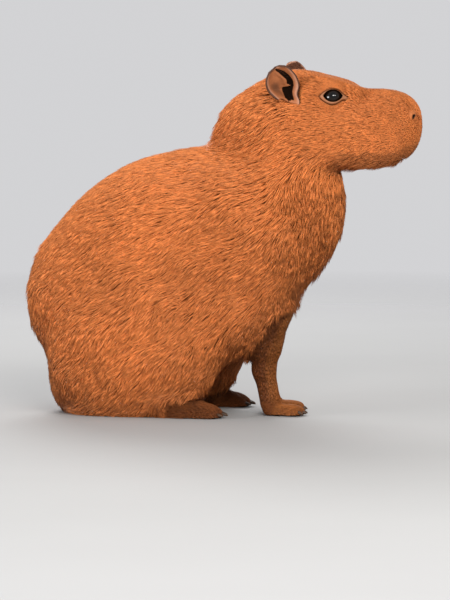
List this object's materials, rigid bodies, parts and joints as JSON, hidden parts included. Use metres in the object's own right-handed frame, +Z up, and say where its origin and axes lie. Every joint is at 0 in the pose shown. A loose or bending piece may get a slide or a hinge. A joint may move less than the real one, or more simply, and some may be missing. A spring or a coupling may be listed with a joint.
{
  "type": "capybara",
  "caption": "Life-size still model of an adult capybara that sits on its haunches, forelegs straight and head level, in a coarse red-brown coat.",
  "frame": {"origin": "on the floor under the middle of the animal's length and width", "axes": "+X forward to the nose, +Y to the animal's left, +Z up"},
  "size_m": [0.7619, 0.3686, 0.6599],
  "materials": {
    "coat": "coarse bristly fur",
    "leg": "short dark fur over skin",
    "ear": "thinly haired skin",
    "eye": "wet gloss",
    "claw": "horn"
  },
  "bodies": {
    "root": {"chest": "coat", "rump": "coat", "neck": "coat", "head": "coat", "ear_left": "ear", "ear_right": "ear", "eye_left": "eye", "eye_right": "eye", "thigh_left": "coat", "thigh_right": "coat", "foreleg_left": "leg", "foreleg_right": "leg", "forefoot_left": "leg", "forefoot_right": "leg", "hind_foot_left": "leg", "hind_foot_right": "leg"}
  },
  "joints": []
}
